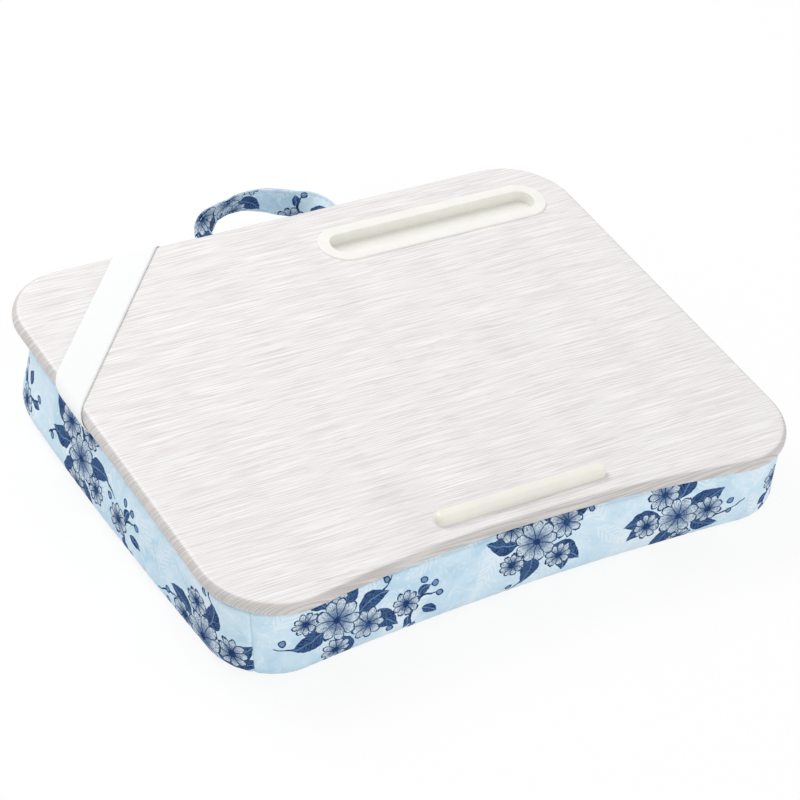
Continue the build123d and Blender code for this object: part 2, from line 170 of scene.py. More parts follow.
# Elastic band, and the way of its middle layer round the board's edge
band_width = 25.4 * MM
band_thickness = 1.2 * MM
band_gap = 0.3 * MM
band_along_side = 123.6 * MM
band_along_back = 112.95 * MM
band_tail_reach = 16.0 * MM
band_step = 1.5 * MM
band_columns = 17
band_edge_run = 1.5 * MM
band_edge_share = 0.35
band_middle = band_gap + band_thickness / 2
wrap_top = (top_edge_radius + band_middle) * pi / 2
wrap_wall = board_top - board_under - top_edge_radius - bottom_edge_radius
wrap_base = (bottom_edge_radius + band_middle) * pi / 2

# Strap handle
strap_width = 25.0 * MM
strap_foot_width = 19.0 * MM
strap_thickness = 2.6 * MM
strap_x = -1.2 * MM
strap_foot_spacing = 98.5 * MM
strap_left_reach = 19.2 * MM
strap_left_radius = 24.0 * MM
strap_crown_shift = -5.2 * MM
strap_crown_reach = 44.4 * MM
strap_crown_radius = 39.0 * MM
strap_right_reach = 10.6 * MM
strap_right_radius = 13.0 * MM
strap_fold_reach = 2.6 * MM
strap_heel = 0.9 * MM
strap_gap = 0.3 * MM
strap_tail = 26.0 * MM
strap_edge_run = 1.6 * MM
strap_edge_share = 0.34
strap_calm_run = 4 * MM
strap_wobble = 0.15 * MM
strap_rows = 300
strap_columns = 41
strap_arc_steps = 4000
strap_form_steps = 241
strap_form_blur = 17
strap_gather_share = 0.24
strap_crease_share = 0.62
strap_fold_spread = 0.20
strap_feet = (strap_x - strap_foot_spacing / 2, strap_x + strap_foot_spacing / 2)
strap_fold_y = board_back + strap_fold_reach
strap_fold_z = board_under - strap_gap - strap_thickness / 2
# Along the loop: share of its length, of its quarter turn and of its widening
strap_form_shares = (
    (0.0, 0.0, 0.0),
    (0.03, 0.0, 0.0),
    (0.1, 0.34, 0.1),
    (0.21, 0.93, 0.5),
    (0.33, 1.22, 0.9),
    (0.5, 1.24, 1.0),
    (0.67, 1.07, 0.9),
    (0.79, 0.96, 0.5),
    (0.9, 0.34, 0.1),
    (0.97, 0.0, 0.0),
    (1.0, 0.0, 0.0),
)

# Stitches of the strap. The taper gives shares of a stitch's length and of its radius
stitch_inset = 2.4 * MM
stitch_dent = 0.38 * MM
stitch_dent_width = 0.9 * MM
stitch_pitch = 3.0 * MM
stitch_length = 2.3 * MM
stitch_radius = 0.26 * MM
stitch_sink_share = 0.45
stitch_sides = 6
stitch_taper = ((0.0, 0.35), (0.18, 0.9), (0.5, 1.0), (0.82, 0.9), (1.0, 0.35))

# Each panel is cut from another stretch of the printed cloth
strip_shifts = ((0.013, 0.064), (0.317, 0.214), (0.551, 0.364), (0.127, 0.514))
base_shift = (0.234, 0.087)
handle_shift = (0.402, 0.262)

# The print, lengths in mm. Blossoms by x, y and radius; leaves by x, y, heading in turns and length;
# buds by x and y; stems by x, y, heading in turns, length and bend
petals = 9
spray_spacing = 150
spray_blossoms = ((-2, 1, 16.5), (22, 10, 13.0), (-20, 17, 12.0), (16, -17, 11.0), (-21, -13, 9.5))
spray_leaves = (
    (7, -7, 0.90, 33.0),
    (-5, -9, 0.70, 27.0),
    (16, 11, 0.05, 32.0),
    (-2, 10, 0.33, 33.0),
    (-15, 3, 0.45, 27.0),
    (14, -12, 0.80, 24.0),
    (8, 13, 0.19, 26.0),
)
spray_buds = ((-39, 24), (-33, 31), (10, 42), (-22, -34), (43, 15))
spray_stems = ((-8, 4, 0.38, 50.0, 0.14), (4, 6, 0.22, 42.0, -0.12), (-4, -6, 0.67, 40.0, 0.14))
sprig_spacing = 75
sprig_clearance = 50
sprig_blossoms = ((-7, 4, 10.5),)
sprig_leaves = ((5, -4, 0.90, 15.0), (3, 6, 0.10, 13.0), (-6, -8, 0.72, 12.0))
sprig_buds = ((16, 13), (19, 4), (-1, -19), (8, 18))
sprig_stems = ((-4, 0, 0.03, 23.0, 0.14), (-2, -2, 0.76, 18.0, -0.16))
group_scatter = 0.30
frond_spacing = 46
frond_half_length = 20
frond_half_width = 8
frond_pitch = 9
sway_reach = 3


def linear(red, green, blue):
    """A screen colour, 0 to 255, as the linear colour that shaders take."""
    channels = [value / 255 for value in (red, green, blue)]
    return tuple(c / 12.92 if c <= 0.04045 else ((c + 0.055) / 1.055) ** 2.4 for c in channels) + (1.0,)


def darker(colour, share):
    return tuple(c * share for c in colour[:3]) + (1.0,)


white = (1.0, 1.0, 1.0, 1.0)
off_white = linear(238, 238, 235)
navy = linear(6, 48, 98)
ink_blue = linear(48, 92, 146)
vein_blue = linear(112, 148, 188)
petal_blue = linear(196, 217, 231)
petal_pale = linear(222, 235, 243)


class Graph:
    """The node tree of a material or the world, and short calls for its nodes."""

    def __init__(self, owner, shader="Principled BSDF"):
        owner.use_nodes = True
        self.owner = owner
        self.tree = owner.node_tree
        self.shader = self.tree.nodes[shader]

    def feed(self, socket, value):
        if isinstance(value, bpy.types.NodeSocket):
            self.tree.links.new(value, socket)
        else:
            socket.default_value = value

    def put(self, name, value):
        """Sets or feeds an input of the shader."""
        self.feed(self.shader.inputs[name], value)

    def fill(self, node, values):
        """A node with inputs set or fed by their names or numbers."""
        for name, value in values.items():
            self.feed(node.inputs[name], value)
        return node

    def node(self, kind, *inputs, **settings):
        """A node with its settings, and its inputs in order, each a socket or a value."""
        made = self.tree.nodes.new("ShaderNode" + kind)
        for key, value in settings.items():
            setattr(made, key, value)
        enabled = [socket for socket in made.inputs if socket.enabled]
        for socket, value in zip(enabled, inputs):
            self.feed(socket, value)
        return made

    def math(self, operation, *inputs):
        return self.node("Math", *inputs, operation=operation).outputs[0]

    def chain(self, operation, result, *others):
        """One operation on the first value and each of the others in turn."""
        for other in others:
            result = self.math(operation, result, other)
        return result

    def add(self, *values):
        return self.chain("ADD", *values)

    def less(self, *values):
        return self.chain("SUBTRACT", *values)

    def times(self, *values):
        return self.chain("MULTIPLY", *values)

    def most(self, *values):
        return self.chain("MAXIMUM", *values)

    def size(self, value):
        return self.math("ABSOLUTE", value)

    def wave(self, value, pitch):
        """A sine of the given pitch, -1 to 1."""
        return self.math("SINE", self.times(value, tau / pitch))

    def vector(self, operation, *inputs, output="Vector"):
        return self.node("VectorMath", *inputs, operation=operation).outputs[output]

    def length(self, vector):
        return self.vector("LENGTH", vector, output="Value")

    def mix(self, share, low, high):
        return self.fill(self.node("Mix", data_type="RGBA"), {0: share, 6: low, 7: high}).outputs[2]

    def step(self, value, low, high):
        """0 below low, 1 above high and smooth between; low above high turns it round."""
        made = self.node("MapRange", interpolation_type="SMOOTHSTEP")
        self.fill(made, {"Value": value, "From Min": min(low, high), "From Max": max(low, high)})
        result = made.outputs["Result"]
        return result if low < high else self.less(1.0, result)

    def tones(self, value, low, high, dark, pale):
        """One screen colour below low and another above high."""
        return self.mix(self.step(value, low, high), linear(*dark), linear(*pale))

    def noise(self, place, scale, detail=2.0, roughness=0.5, distortion=0.0, output="Fac"):
        looks = {"Scale": scale, "Detail": detail, "Roughness": roughness, "Distortion": distortion}
        return self.fill(self.node("TexNoise", place), looks).outputs[output]

    def streaks(self, *axes, **looks):
        """Noise along up to three axes, each a coordinate and its own scale."""
        scaled = [self.times(value, scale) for value, scale in axes]
        return self.noise(self.join(*scaled), 1.0, **looks)

    def cells(self, place, spacing, scatter):
        """Offset from the nearest of many scattered places, and random numbers of its own."""
        made = self.node("TexVoronoi", place, feature="F1", voronoi_dimensions="2D")
        self.fill(made, {"Scale": 1.0 / (spacing * MM), "Randomness": scatter})
        chance = self.node("SeparateColor", made.outputs["Color"]).outputs
        return self.vector("SUBTRACT", place, made.outputs["Position"]), chance

    def parts(self, place):
        return tuple(self.node("SeparateXYZ", place).outputs)

    def join(self, x, y, z=0.0):
        return self.node("CombineXYZ", x, y, z).outputs[0]

    def turned(self, x, y, angle):
        """x and y turned back by an angle, a number or a socket."""
        c, s = self.math("COSINE", angle), self.math("SINE", angle)
        return self.add(self.times(x, c), self.times(y, s)), self.less(self.times(y, c), self.times(x, s))

    def bump(self, height, distance, strength):
        looks = {"Height": height, "Distance": distance, "Strength": strength}
        self.put("Normal", self.fill(self.node("Bump"), looks).outputs["Normal"])

    def place(self):
        return self.node("TexCoord").outputs["Object"]

    def uv(self):
        return self.node("UVMap", uv_map="cloth").outputs["UV"]

    def seen(self):
        """1 for what the camera sees, straight or in a reflection or through glass, and 0 for light."""
        path = self.node("LightPath").outputs
        return self.most(path["Is Camera Ray"], path["Is Glossy Ray"], path["Is Transmission Ray"])


def new_material(name, roughness):
    g = Graph(bpy.data.materials.new(name))
    g.put("Roughness", roughness)
    return g


def board_film_material():
    """Whitewashed grain printed on film: fine crisp lines along X that wrap over the board's edges."""
    g = new_material("board_film", 0.42)
    x, y, z = g.parts(g.place())
    facing_z = g.parts(g.node("NewGeometry").outputs["Normal"])[2]
    drift = g.streaks((x, 9.0), (y, 14.0))
    wander = g.streaks((x, 60.0), (y, 60.0))
    across = g.add(y, g.times(z, 0.35), g.times(drift, 5 * MM), g.times(wander, 0.6 * MM))
    fine = g.streaks((x, 19.0), (across, 1120.0), roughness=0.6)
    pores = g.streaks((x, 13.0), (across, 760.0), detail=1.0)
    broad = g.streaks((x, 5.0), (across, 90.0))
    grain = g.tones(fine, 0.35, 0.65, (222, 218, 218), (244, 242, 242))
    line = g.step(g.size(g.less(pores, 0.5)), 0.030, 0.008)
    grain = g.mix(g.times(line, 0.5), grain, linear(201, 192, 191))
    grain = g.mix(g.times(g.step(fine, 0.60, 0.70), 0.25), grain, linear(249, 248, 248))
    grain = g.mix(g.times(g.step(broad, 0.40, 0.66), 0.15), grain, linear(232, 226, 226))
    # Painted shade: where the film turns away from facing up, over the rounded edges, its colour goes to a
    # darker grey-beige. This is partly the film's own edge colour and partly painted shade.
    edge = g.tones(fine, 0.38, 0.62, (188, 184, 182), (214, 210, 208))
    g.put("Base Color", g.mix(g.step(facing_z, 0.80, 0.97), edge, grain))
    g.put("Roughness", g.add(0.38, g.times(fine, 0.16)))
    g.bump(fine, 0.03 * MM, 0.5)
    return g.owner


def board_core_material():
    """Pressed wood fibre: brown, with darker and paler flecks."""
    g = new_material("board_core", 0.85)
    fleck = g.noise(g.place(), 900.0, detail=4.0, roughness=0.7)
    cloud = g.noise(g.place(), 60.0)
    tone = g.tones(fleck, 0.32, 0.66, (150, 117, 84), (202, 171, 134))
    g.put("Base Color", g.mix(g.times(g.step(cloud, 0.4, 0.7), 0.3), tone, linear(178, 146, 110)))
    g.bump(fleck, 0.12 * MM, 0.7)
    return g.owner


def plastic_material(name, colour, roughness):
    """Moulded plastic with a faint ripple and slightly uneven gloss."""
    g = new_material(name, roughness)
    ripple = g.noise(g.place(), 60.0, detail=3.0)
    fine = g.noise(g.place(), 1100.0)
    g.put("Base Color", g.mix(g.step(ripple, 0.3, 0.7), darker(colour, 0.965), colour))
    g.put("Roughness", g.add(roughness - 0.04, g.times(fine, 0.09)))
    g.bump(fine, 0.006 * MM, 0.3)
    return g.owner


def steel_material():
    """Plated steel wire and screws with fine drawing marks."""
    g = new_material("plated_steel", 0.34)
    x, y, z = g.parts(g.place())
    marks = g.streaks((x, 300.0), (y, 300.0), (z, 4000.0), detail=3.0)
    g.put("Base Color", g.tones(marks, 0.3, 0.7, (168, 168, 172), (205, 205, 208)))
    g.put("Roughness", g.add(0.26, g.times(marks, 0.2)))
    g.put("Metallic", 1.0)
    g.bump(marks, 0.02 * MM, 0.5)
    return g.owner


def elastic_material():
    """Knitted white elastic: fine ribs along the band and small ribs across it."""
    g = new_material("elastic", 0.85)
    along, across, _ = g.parts(g.uv())
    rib = g.wave(across, 1.05 * MM)
    cross = g.wave(along, 0.8 * MM)
    level = g.step(g.add(g.times(rib, 0.65), g.times(cross, 0.35)), -1.0, 1.0)
    g.put("Base Color", g.mix(level, linear(237, 239, 239), linear(246, 248, 248)))
    g.put("Sheen Weight", 0.2)
    g.bump(level, 0.05 * MM, 0.5)
    return g.owner


def thread_material():
    """Pale sewing thread with the twist of its plies."""
    g = new_material("thread", 0.8)
    twist = g.wave(g.add(*g.parts(g.place())), 0.5 * MM)
    g.put("Base Color", g.tones(twist, -1.0, 1.0, (176, 200, 216), (226, 238, 244)))
    g.bump(twist, 0.06 * MM, 0.6)
    return g.owner


def lining_material():
    """Plain woven off-white cloth, for what the cover hides."""
    g = new_material("lining_cloth", 0.9)
    x, y, _ = g.parts(g.place())
    weave = g.times(g.wave(x, 0.7 * MM), g.wave(y, 0.7 * MM))
    slub = g.noise(g.place(), 500.0, detail=3.0)
    shade = g.step(g.add(g.times(weave, 0.2), slub), 0.3, 0.8)
    g.put("Base Color", g.mix(shade, darker(off_white, 0.9), off_white))
    g.bump(g.add(weave, slub), 0.08 * MM, 0.6)
    return g.owner


def wash_print(g, uv):
    """Pale blue watercolour with white clouds and faint brush strokes."""
    cloud = g.noise(uv, 20.0, detail=5.0, roughness=0.6, distortion=1.2)
    brush = g.noise(uv, 85.0, detail=4.0, roughness=0.65, distortion=2.6)
    ground = g.tones(cloud, 0.32, 0.54, (186, 218, 236), (208, 231, 245))
    ground = g.mix(g.step(cloud, 0.50, 0.70), ground, linear(227, 241, 250))
    return g.mix(g.times(g.step(brush, 0.52, 0.66), 0.5), ground, linear(237, 246, 252))


def frond_print(g, uv, ground):
    """Faint white fronds over the ground: a bent stem with slanted leaflets on both sides."""
    spot, chance = g.cells(uv, frond_spacing, 0.6)
    x, y, _ = g.parts(spot)
    along, across = g.turned(x, y, g.times(chance[0], tau))
    along = g.add(along, g.times(across, across, 18.0))
    side = g.size(across)
    run = g.size(along)
    half = frond_half_length * MM
    leaflet = g.size(g.wave(g.less(along, g.times(side, 1.1)), frond_pitch * MM))
    width = g.times(g.less(1.0, g.math("POWER", g.math("DIVIDE", run, half), 2.0)), frond_half_width * MM)
    blade = g.times(g.step(leaflet, 0.42, 0.72), g.step(g.less(width, side), 0.0, 0.8 * MM))
    stem = g.times(g.step(side, 0.6 * MM, 0.3 * MM), g.step(run, half, 0.9 * half))
    return g.mix(g.times(g.most(blade, stem), 0.42), ground, linear(242, 248, 252))


def blossom_shape(g, x, y, spot, ragged):
    """Body, ink and shade of a line-drawn blossom: round petals, hatched towards a solid inked eye."""
    centre_x, centre_y, size = (value * MM for value in spot)
    x, y = g.less(x, centre_x), g.less(y, centre_y)
    radius = g.length(g.join(x, y))
    angle = g.math("ARCTAN2", y, x)
    lobe = g.size(g.math("COSINE", g.times(angle, petals / 2)))
    reach = g.times(g.add(0.64, g.times(g.math("SQRT", lobe), 0.36)), size)
    reach = g.add(reach, g.times(g.less(ragged, 0.5), 2.6 * MM))
    inside = g.step(g.less(reach, radius), 0.0, 0.3 * MM)
    rim = g.step(g.size(g.less(radius, reach)), 0.95 * MM, 0.45 * MM)
    ray = g.step(g.times(radius, lobe), 2.3 * MM, 0.9 * MM)
    comb = g.times(g.size(g.math("SINE", g.times(angle, petals * 2.5))), radius)
    vein_end = g.times(g.add(0.42, ragged), size)
    veins = g.times(g.step(comb, 1.25 * MM, 0.6 * MM), g.step(g.less(vein_end, radius), 0.0, 1.6 * MM))
    eye = g.step(radius, 3.4 * MM, 2.2 * MM)
    ink = g.most(g.times(g.most(ray, veins, eye), inside), rim)
    shade = g.times(g.step(g.less(radius, g.times(ragged, 0.5 * size)), 0.55 * size, 0.0), 0.75)
    return g.most(inside, rim), ink, shade


def stretch(g, x, y, base_x, base_y, turns, length):
    """A leaf's or stem's own frame: way along and across it, share of its length and height of its arch."""
    along, across = g.turned(g.less(x, base_x * MM), g.less(y, base_y * MM), turns * tau)
    share = g.times(along, 1 / length)
    return along, across, share, g.times(share, g.less(1.0, share))


def leaf_shape(g, x, y, spot):
    """Body and pale veins of a broad leaf, bent to one side and drawn out from its base to a point."""
    base_x, base_y, turns, length = spot
    length *= MM
    along, across, share, arch = stretch(g, x, y, base_x, base_y, turns, length)
    side = g.size(g.less(across, g.times(arch, 0.34 * length)))
    half = g.times(arch, g.most(0.0, g.less(1.45 * length, g.times(share, 0.75 * length))))
    inside = g.step(g.less(half, side), 0.0, 0.3 * MM)
    midrib = g.step(side, 0.55 * MM, 0.22 * MM)
    slanted = g.size(g.wave(g.less(along, g.times(side, 0.9)), 6.4 * MM))
    light = g.most(midrib, g.times(g.step(slanted, 0.24, 0.08), 0.6))
    return inside, g.times(light, inside)


def stem_shape(g, x, y, spot):
    """Ink of a bent stem that thins towards its end."""
    base_x, base_y, turns, length, bend = spot
    length *= MM
    _, across, share, arch = stretch(g, x, y, base_x, base_y, turns, length)
    side = g.size(g.less(across, g.times(arch, 4 * bend * length)))
    width = g.times(g.less(1.35, share), 0.95 * MM)
    return g.times(g.step(g.less(side, width), 0.3 * MM, 0.0), g.step(arch, 0.0, 0.01))


def bud_shape(g, x, y, spot):
    """Body and outline of a round bud."""
    radius = g.length(g.join(g.less(x, spot[0] * MM), g.less(y, spot[1] * MM)))
    return g.step(radius, 2.6 * MM, 2.2 * MM), g.step(g.size(g.less(radius, 2.3 * MM)), 0.7 * MM, 0.3 * MM)


def bouquet(g, ground, x, y, shown, motifs, ragged, tone, sketch):
    """Stems, buds, dark leaves and blossoms of one motif group, laid over the ground where it is shown."""
    blossoms, leaves, buds, stems = motifs
    bud_body, bud_rim = (g.most(*parts) for parts in zip(*(bud_shape(g, x, y, spot) for spot in buds)))
    leaf_body, veins = (g.most(*parts) for parts in zip(*(leaf_shape(g, x, y, spot) for spot in leaves)))
    stem = g.most(*(stem_shape(g, x, y, spot) for spot in stems))
    leaf = g.mix(g.times(g.most(veins, g.times(sketch, 0.45)), 0.85), tone, vein_blue)
    for colour, cover in ((tone, stem), (vein_blue, bud_body), (tone, bud_rim), (leaf, leaf_body)):
        ground = g.mix(g.times(cover, shown), ground, colour)
    petal_tint = g.mix(g.step(ragged, 0.35, 0.65), petal_blue, petal_pale)
    for spot in reversed(blossoms):
        body, ink, shade = blossom_shape(g, x, y, spot, ragged)
        petal = g.mix(shade, petal_tint, ink_blue)
        drawn = g.mix(g.most(ink, g.times(sketch, 0.8)), petal, tone)
        ground = g.mix(g.times(body, shown), ground, drawn)
    return ground


def group_places(g, uv, spacing):
    """Place in the frame of the nearest motif group, turned and mirrored by chance, and its middle."""
    spot, chance = g.cells(uv, spacing, group_scatter)
    x, y, _ = g.parts(spot)
    mirror = g.less(g.times(g.math("GREATER_THAN", chance[1], 0.5), 2.0), 1.0)
    x, y = g.turned(g.times(x, mirror), y, g.times(chance[0], tau))
    return x, y, g.vector("SUBTRACT", uv, spot)


def cloth_material():
    """Printed cotton: watercolour ground, pale fronds, sprays of blossoms, and sprigs between them."""
    g = new_material("printed_cloth", 0.86)
    uv = g.uv()
    sway = g.vector("SUBTRACT", g.noise(uv, 160.0, output="Color"), (0.5, 0.5, 0.5))
    drawn = g.vector("MULTIPLY_ADD", sway, (sway_reach * MM, sway_reach * MM, 0), uv)
    ragged = g.noise(uv, 420.0)
    stroke = g.noise(uv, 190.0, detail=4.0, roughness=0.7, distortion=1.5)
    tone = g.mix(g.times(g.step(stroke, 0.46, 0.66), 0.8), navy, ink_blue)
    sketch = g.step(g.size(g.less(stroke, 0.5)), 0.028, 0.012)
    ground = frond_print(g, drawn, wash_print(g, uv))
    x, y, middle = group_places(g, drawn, sprig_spacing)
    clear = g.length(g.cells(middle, spray_spacing, group_scatter)[0])
    shown = g.math("GREATER_THAN", clear, sprig_clearance * MM)
    sprig = (sprig_blossoms, sprig_leaves, sprig_buds, sprig_stems)
    ground = bouquet(g, ground, x, y, shown, sprig, ragged, tone, sketch)
    x, y, _ = group_places(g, drawn, spray_spacing)
    spray = (spray_blossoms, spray_leaves, spray_buds, spray_stems)
    ground = bouquet(g, ground, x, y, 1.0, spray, ragged, tone, sketch)
    x, y, _ = g.parts(uv)
    weave = g.times(g.wave(x, 0.62 * MM), g.wave(y, 0.62 * MM))
    slub = g.noise(uv, 600.0, detail=3.0)
    g.put("Base Color", g.mix(g.times(g.step(slub, 0.3, 0.7), 0.012), ground, linear(250, 252, 253)))
    g.put("Roughness", g.add(0.78, g.times(slub, 0.14)))
    g.put("Specular IOR Level", 0.2)
    g.bump(g.add(g.times(weave, 0.5), g.times(slub, 0.8)), 0.05 * MM, 0.5)
    return g.owner


def shares(count):
    """Equal shares from 0 up to 1, without the last."""
    return np.arange(count) / count


def unit(vector):
    return vector / np.hypot(*vector)


def bell(value, width):
    return np.exp(-((value / width) ** 2))


def arc_points(centre, start, finish, count):
    """Points on the shorter arc about centre from start to finish, without the last."""
    a, b = start - centre, finish - centre
    first = atan2(a[1], a[0])
    sweep = (atan2(b[1], b[0]) - first + pi) % tau - pi
    angles = first + sweep * shares(count)
    return centre + np.hypot(*a) * np.stack((np.cos(angles), np.sin(angles)), axis=1)


def corner_arcs(inset, tuck):
    """The plan's corners from the front left, anticlockwise: centre, radius and way out of the next side."""
    side = board_right - side_inset - inset
    front = board_front + front_inset + inset
    back = board_back - back_inset - inset
    low = front_radius - inset + tuck
    high = back_radius - inset + tuck
    corners = (
        (low - side, front + low, low, (0.0, -1.0)),
        (side - low, front + low, low, (1.0, 0.0)),
        (side - high, back - high, high, (0.0, 1.0)),
        (high - side, back - high, high, (-1.0, 0.0)),
    )
    return [(np.array((x, y)), radius, np.array(out)) for x, y, radius, out in corners]


def side_points(start_corner, end_corner, bow, count):
    """Ends and points of one side, tangent to its corners: bow above zero swells, below is hollow."""
    (centre_a, radius_a, out), (centre_b, radius_b, _) = start_corner, end_corner
    along = np.array((-out[1], out[0]))
    length = (centre_b - centre_a) @ along
    shift = length / 2 + bow * (radius_b - radius_a) / length
    radius = (shift**2 + bow**2) / (2 * bow) + radius_a
    centre = centre_a + along * shift + out * (radius_a + bow - radius)
    sign = 1 if bow > 0 else -1
    start = centre_a + unit(centre_a - centre) * radius_a * sign
    finish = centre_b + unit(centre_b - centre) * radius_b * sign
    return start, finish, arc_points(centre, start, finish, count)


def plan_loop(inset, tuck, bow, refine):
    """Closed loop of plan points, anticlockwise from the front, refine times finer than the grid."""
    corners = corner_arcs(inset, tuck)
    swell = max(bow, least_bow)
    bows = (recess_ease * bow - front_recess, swell, swell, swell)
    following = corners[1:] + corners[:1]
    counts = [count * refine for count in side_columns]
    sides = [side_points(*side) for side in zip(corners, following, bows, counts)]
    loop = []
    for (_, finish, points), (centre, _, _), (start, _, _) in zip(sides, following, sides[1:] + sides[:1]):
        loop += [points, arc_points(centre, finish, start, corner_columns * refine)]
    return np.concatenate(loop)


def seam_columns():
    """Column of each corner's seam, from the front right one round to the front left one."""
    found, column = [], 0
    for count in side_columns:
        column += (count + corner_columns // 2) * column_refine
        found.append(column)
        column += corner_columns // 2 * column_refine
    found[-1] += near_seam_shift
    return found


def base_seam_row():
    return (hem_rows + rim_rows + side_rows) * row_refine + round(turn_rows * row_refine * seam_turn_share)


def cushion_profile(refine, slack):
    """Height, inset, corner tuck and side bow of each row, from the hem's inner edge down to the base."""
    top = board_under - top_gap
    side_top = top - rim_round
    crown_edge = crown_drop - stand_cut
    foot = crown_edge + base_round_height
    rows = []
    for share in shares(hem_rows * refine):
        inset = draw_in + rim_round + (hem_width - rim_round) * (1 - share)
        rows.append((top, inset, 0.0, 0.0))
    for turn in shares(rim_rows * refine) * pi / 2:
        inset = draw_in + rim_round * (1 - sin(turn))
        rows.append((top - rim_round * (1 - cos(turn)), inset, 0.0, 0.0))
    for share in shares(side_rows * refine):
        height = side_top + (foot - side_top) * share
        rise = (height - foot) / (top - foot)
        drawn = max(0.0, 1 - (1 - rise) / draw_rise_share)
        inset = draw_in * drawn**2 + (slack - belly) * sin(pi * rise)
        tuck = corner_tuck * side_tuck_share * (1 - rise) ** 2
        rows.append((height, inset, tuck, side_bow * (1 - rise)))
    for share in shares(turn_rows * refine):
        turn = pi / 2 * share
        height = crown_edge + base_round_height * (1 - sin(turn))
        inset = base_round * (1 - cos(turn))
        tuck = corner_tuck * (side_tuck_share + (1 - side_tuck_share) * share)
        rows.append((height, inset, tuck, side_bow))
    for run in np.append(shares(crown_rows * refine), 1.0):
        height = crown_edge - crown_drop * (1 - (1 - run) ** 2)
        inset = base_round + crown_run * run
        rows.append((max(height, 0.0), inset, corner_tuck, side_bow))
    return rows


def cushion_grid(column_factor, row_factor, slack=0.0):
    """Rows by columns of points on the cushion's cover."""
    grid = []
    for height, inset, tuck, bow in cushion_profile(row_factor, slack):
        loop = plan_loop(inset, tuck, bow, column_factor)
        depth = min(1.0, (board_under - height) / (board_under - base_round_height))
        skew = np.array(((1.0, front_skew * depth), (-side_skew * depth, 1.0)))
        loop = loop @ skew - np.array((0.0, forward_lean * depth))
        grid.append(np.column_stack((loop, np.full(len(loop), height))))
    return np.array(grid)


def add_object(name, data):
    made = bpy.data.objects.new(name, data)
    scene.collection.objects.link(made)
    return made


def mesh_object(name, places, faces, material=None, uvs=None):
    """A smooth-shaded mesh object, with its cloth map if one is given for each face corner."""
    mesh = bpy.data.meshes.new(name)
    mesh.from_pydata(np.asarray(places, float).tolist(), [], [tuple(f) for f in faces])
    mesh.polygons.foreach_set("use_smooth", [True] * len(mesh.polygons))
    if uvs is not None:
        layer = mesh.uv_layers.new(name="cloth")
        layer.data.foreach_set("uv", np.asarray(uvs, float).ravel())
    if material:
        mesh.materials.append(material)
    mesh.update()
    return add_object(name, mesh)


def grid_faces(rows, columns, closed=True):
    """Quads of a grid of points, row by row, joined round its columns where it is closed."""
    last = columns if closed else columns - 1
    row, column = np.meshgrid(np.arange(rows - 1), np.arange(last), indexing="ij")
    here, below = row * columns, (row + 1) * columns
    right = (column + 1) % columns
    corners = (here + column, below + column, below + right, here + right)
    return np.stack([c.ravel() for c in corners], axis=1)


def tube_caps(rows, columns):
    """Faces over the first and the last ring of a closed grid of points."""
    return [list(range(columns)), list(range((rows - 1) * columns, rows * columns))[::-1]]


def tube_faces(rows, columns):
    return grid_faces(rows, columns).tolist() + tube_caps(rows, columns)


def grid_normals(grid):
    """Unit normals of a closed grid of points, out of the side that its rows and columns turn to."""
    along = np.roll(grid, -1, 1) - np.roll(grid, 1, 1)
    normals = np.cross(np.gradient(grid, axis=0), along)
    return normals / np.maximum(np.linalg.norm(normals, axis=2, keepdims=True), 1e-12)


def between(values, factor, axis, closed):
    """Values spread to a grid factor times finer along one axis, on smooth cubic curves."""
    values = np.moveaxis(values, axis, 0)
    before, after = (values[-1:], values[:2]) if closed else (values[:1], values[-1:])
    padded = np.concatenate((before, values, after))
    spans = len(padded) - 3
    a, b, c, d = (padded[i : i + spans] for i in range(4))
    fine = []
    for t in shares(factor):
        fine.append(b + 0.5 * t * (c - a + t * (2 * a - 5 * b + 4 * c - d + t * (3 * (b - c) + d - a))))
    fine = np.stack(fine, axis=1).reshape((-1,) + values.shape[1:])
    if not closed:
        fine = np.concatenate((fine, values[-1:]))
    return np.moveaxis(fine, 0, axis)


def settled_shift():
    """How far each point of the coarse cover moves when it is blown up with its hem and base held."""
    target = cushion_grid(1, 1)
    start = cushion_grid(1, 1, cover_slack)
    rows, columns, _ = start.shape
    trial = mesh_object("cover_trial", start.reshape(-1, 3), tube_faces(rows, columns))
    held = trial.vertex_groups.new(name="held")
    first_free = hem_rows + rim_rows
    last_free = first_free + side_rows + turn_rows // 2
    for row in range(rows):
        if not first_free < row < last_free:
            held.add(list(range(row * columns, (row + 1) * columns)), 1.0, "REPLACE")
    cloth = trial.modifiers.new("cloth", "CLOTH")
    for key, value in cloth_settings.items():
        setattr(cloth.settings, key, value)
    cloth.settings.effector_weights.gravity = 0.0
    cloth.collision_settings.use_collision = False
    for step in range(1, cloth_frames + 1):
        scene.frame_set(step)
    shown = trial.evaluated_get(bpy.context.evaluated_depsgraph_get())
    ended = np.empty(start.size)
    shown.data.vertices.foreach_get("co", ended)
    bpy.data.objects.remove(trial)
    scene.frame_set(1)
    shift = ended.reshape(start.shape) - target
    length = np.linalg.norm(shift, axis=2, keepdims=True)
    return shift * np.minimum(1.0, cover_cap / np.maximum(length, 1e-9))


def dip(distance, half_width, fade):
    """1 within half_width and smoothly down to 0 past it."""
    return bell(np.maximum(0, np.abs(distance) - half_width), fade)


def hem_dips(grid):
    """How far the cover's hem gives way below the band's tails and the strap's ends."""
    x, y, z = np.moveaxis(grid, 2, 0)
    at_left = x < dip_margin - board_right
    at_back = y > board_back - dip_margin
    side_gap = y - board_back + band_along_side + band_tail_shift
    back_gap = x - board_left - band_along_back - band_tail_shift
    tails = ((side_gap, at_left), (back_gap, at_back))
    dips = [band_dip * dip(gap, band_tail_half, band_dip_fade) * near for gap, near in tails]
    dips += [strap_dip * dip(x - foot, strap_foot_width / 2, strap_dip_fade) * at_back for foot in strap_feet]
    rise = np.clip((z - (board_under - dip_height)) / dip_rise, 0, 1)
    return np.max(dips, axis=0) * rise**1.5


